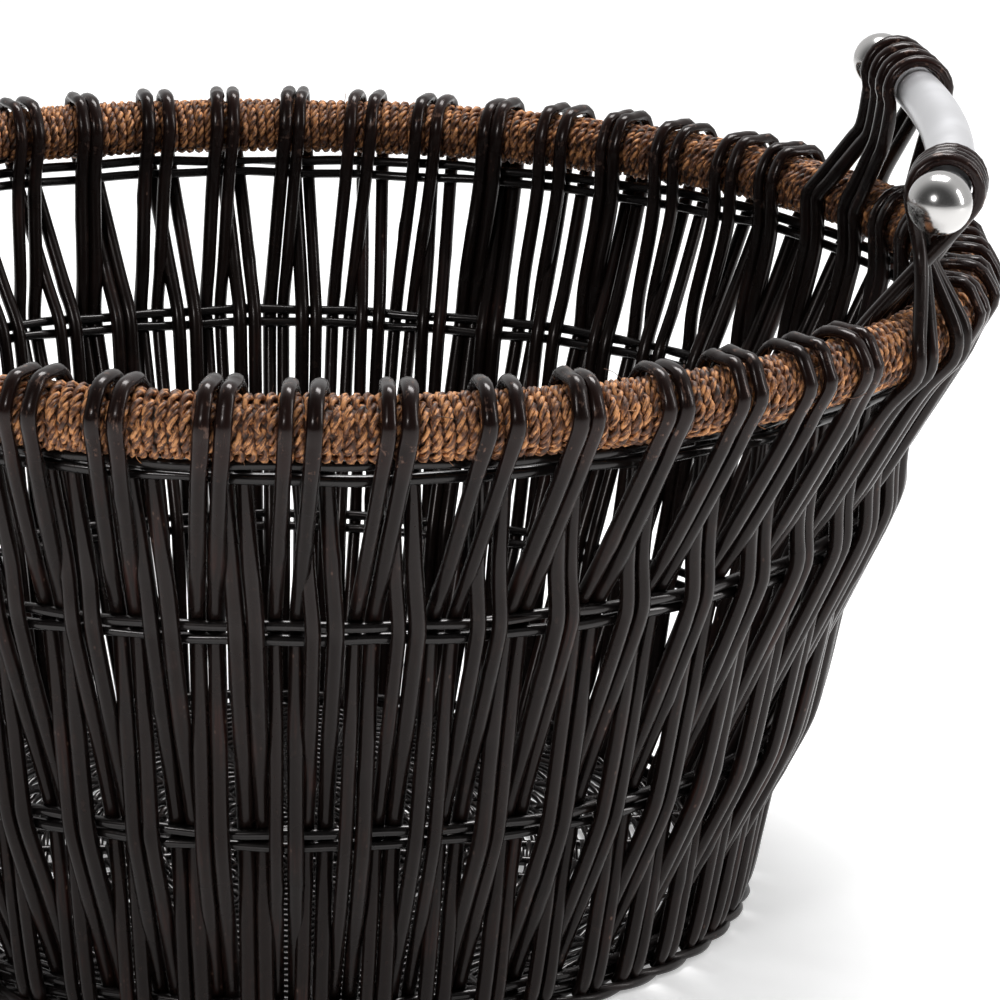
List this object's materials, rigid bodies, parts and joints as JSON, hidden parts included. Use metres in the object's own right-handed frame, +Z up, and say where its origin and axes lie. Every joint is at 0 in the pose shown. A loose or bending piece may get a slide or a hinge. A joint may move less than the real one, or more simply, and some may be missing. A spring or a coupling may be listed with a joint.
{
  "type": "woven fruit basket",
  "caption": "Round open-weave willow basket with a cord-bound rim, double hoop rows, hairpin stakes and bowed metal side grips held in willow loops.",
  "frame": {"origin": "centre of the basket's underside, on the surface that it stands on", "axes": "+Z up through the mouth, +X towards the right grip, -Y towards the front"},
  "size_m": [0.407, 0.407, 0.2418],
  "materials": {
    "stake_willow": "espresso-stained willow rods, satin lacquer",
    "hoop_willow": "black-brown stained willow rods, glossy lacquer",
    "base_willow": "black-brown stained fine willow, glossy lacquer",
    "border_willow": "black-brown stained willow border, satin lacquer",
    "seagrass_cord": "twisted brown seagrass cord, natural",
    "satin_metal": "satin silver tube",
    "rod_steel": "plain steel",
    "bright_ball": "polished chrome"
  },
  "bodies": {
    "basket": {"foot_border": "border_willow", "base_weave_under": "base_willow", "base_long_sticks": "base_willow", "base_cross_sticks": "base_willow", "base_bye_sticks": "base_willow", "base_weave_floor": "base_willow", "foot_hoop_lower": "hoop_willow", "foot_hoop_upper": "hoop_willow", "belly_hoop_lower": "hoop_willow", "belly_hoop_upper": "hoop_willow", "shoulder_hoop_lower": "hoop_willow", "shoulder_hoop_upper": "hoop_willow", "neck_hoop_lower": "hoop_willow", "neck_hoop_upper": "hoop_willow", "rim_hoop": "hoop_willow", "rim_binding": "seagrass_cord", "stakes_01": "stake_willow", "stakes_02": "stake_willow", "stakes_03": "stake_willow", "stakes_04": "stake_willow", "stakes_05": "stake_willow", "stakes_06": "stake_willow", "stakes_07": "stake_willow", "stakes_08": "stake_willow", "stakes_09": "stake_willow", "stakes_10": "stake_willow", "stakes_11": "stake_willow", "stakes_12": "stake_willow", "stakes_13": "stake_willow", "stakes_14": "stake_willow", "stakes_15": "stake_willow", "stakes_16": "stake_willow", "stakes_17": "stake_willow", "stakes_18": "stake_willow", "stakes_19": "stake_willow", "stakes_20": "stake_willow", "stakes_21": "stake_willow", "stakes_22": "stake_willow", "right_front_loop": "stake_willow", "right_rear_loop": "stake_willow", "left_front_loop": "stake_willow", "left_rear_loop": "stake_willow"},
    "right_grip": {"right_grip_tube": "satin_metal", "right_tie_rod": "rod_steel", "right_front_ball": "bright_ball", "right_rear_ball": "bright_ball"},
    "left_grip": {"left_grip_tube": "satin_metal", "left_tie_rod": "rod_steel", "left_front_ball": "bright_ball", "left_rear_ball": "bright_ball"}
  },
  "joints": [
    {"name": "right_grip_rock", "type": "hinge", "parent": "basket", "child": "right_grip", "pos_m": [0.1796, 0, 0.23], "axis": [0, 1, 0], "range_deg": [-6, 6]},
    {"name": "left_grip_rock", "type": "hinge", "parent": "basket", "child": "left_grip", "pos_m": [-0.1796, 0, 0.23], "axis": [0, 1, 0], "range_deg": [-6, 6]}
  ]
}
